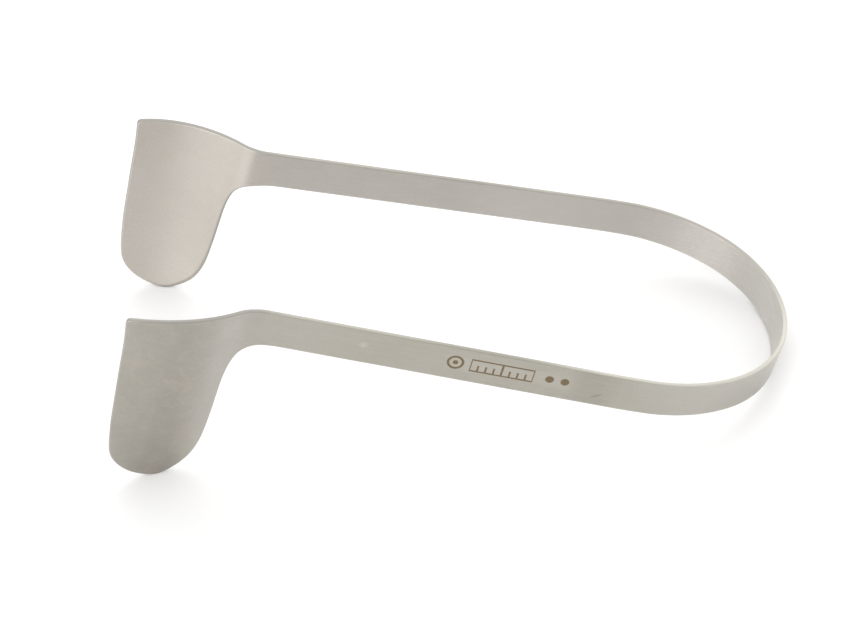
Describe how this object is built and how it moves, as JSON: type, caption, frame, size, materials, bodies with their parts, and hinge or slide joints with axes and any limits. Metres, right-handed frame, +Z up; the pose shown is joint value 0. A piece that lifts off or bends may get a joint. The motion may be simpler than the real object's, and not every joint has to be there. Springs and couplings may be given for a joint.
{
  "type": "cheek retractor",
  "caption": "U-shaped spring cheek retractor bent from one steel strip on edge, with a hollow drooping cheek blade on the end of each arm.",
  "frame": {"origin": "middle of the strip's thickness at the crown of the bow, on the plane of the strip's upper edges", "axes": "+X from the bow towards the blades, +Y towards the left arm, +Z up along the strip's width, away from the way the blades hang; the object is symmetric about Y = 0"},
  "size_m": [0.1394, 0.0642, 0.045],
  "materials": {
    "steel": "brushed"
  },
  "bodies": {
    "bow": {"bow_crown": "steel"},
    "bow_rear_left": {"bow_rear_left": "steel"},
    "bow_shoulder_left": {"bow_shoulder_left": "steel"},
    "arm_rear_left": {"arm_rear_left": "steel"},
    "arm_front_left": {"arm_front_left": "steel", "cheek_blade_left": "steel"},
    "bow_rear_right": {"bow_rear_right": "steel"},
    "bow_shoulder_right": {"bow_shoulder_right": "steel"},
    "arm_rear_right": {"arm_rear_right": "steel"},
    "arm_front_right": {"arm_front_right": "steel", "cheek_blade_right": "steel"}
  },
  "joints": [
    {"name": "bow_flex_left", "type": "hinge", "parent": "bow", "child": "bow_rear_left", "pos_m": [0.00358, 0.01337, 0], "axis": [0, 0, -1], "range_deg": [-1.08, 4.16], "stiffness_Nm_per_rad": 6.56},
    {"name": "shoulder_flex_left", "type": "hinge", "parent": "bow_rear_left", "child": "bow_shoulder_left", "pos_m": [0.02065, 0.02642, 0], "axis": [0, 0, -1], "range_deg": [-0.9, 3.44], "stiffness_Nm_per_rad": 6.83},
    {"name": "arm_root_flex_left", "type": "hinge", "parent": "bow_shoulder_left", "child": "arm_rear_left", "pos_m": [0.04646, 0.02771, 0], "axis": [0, 0, -1], "range_deg": [-0.81, 3.06], "stiffness_Nm_per_rad": 5.86},
    {"name": "arm_mid_flex_left", "type": "hinge", "parent": "arm_rear_left", "child": "arm_front_left", "pos_m": [0.07644, 0.02643, 0], "axis": [0, 0, -1], "range_deg": [-0.76, 2.88], "stiffness_Nm_per_rad": 3.31},
    {"name": "bow_flex_right", "type": "hinge", "parent": "bow", "child": "bow_rear_right", "pos_m": [0.00358, -0.01337, 0], "axis": [0, 0, 1], "range_deg": [-1.08, 4.16], "stiffness_Nm_per_rad": 6.56},
    {"name": "shoulder_flex_right", "type": "hinge", "parent": "bow_rear_right", "child": "bow_shoulder_right", "pos_m": [0.02065, -0.02642, 0], "axis": [0, 0, 1], "range_deg": [-0.9, 3.44], "stiffness_Nm_per_rad": 6.83},
    {"name": "arm_root_flex_right", "type": "hinge", "parent": "bow_shoulder_right", "child": "arm_rear_right", "pos_m": [0.04646, -0.02771, 0], "axis": [0, 0, 1], "range_deg": [-0.81, 3.06], "stiffness_Nm_per_rad": 5.86},
    {"name": "arm_mid_flex_right", "type": "hinge", "parent": "arm_rear_right", "child": "arm_front_right", "pos_m": [0.07644, -0.02643, 0], "axis": [0, 0, 1], "range_deg": [-0.76, 2.88], "stiffness_Nm_per_rad": 3.31}
  ],
  "couplings": [
    {"joint": "shoulder_flex_left", "follows": "bow_flex_left", "ratio": 0.8222},
    {"joint": "arm_root_flex_left", "follows": "bow_flex_left", "ratio": 0.7323},
    {"joint": "arm_mid_flex_left", "follows": "bow_flex_left", "ratio": 0.6879},
    {"joint": "shoulder_flex_right", "follows": "bow_flex_right", "ratio": 0.8222},
    {"joint": "arm_root_flex_right", "follows": "bow_flex_right", "ratio": 0.7323},
    {"joint": "arm_mid_flex_right", "follows": "bow_flex_right", "ratio": 0.6879}
  ]
}
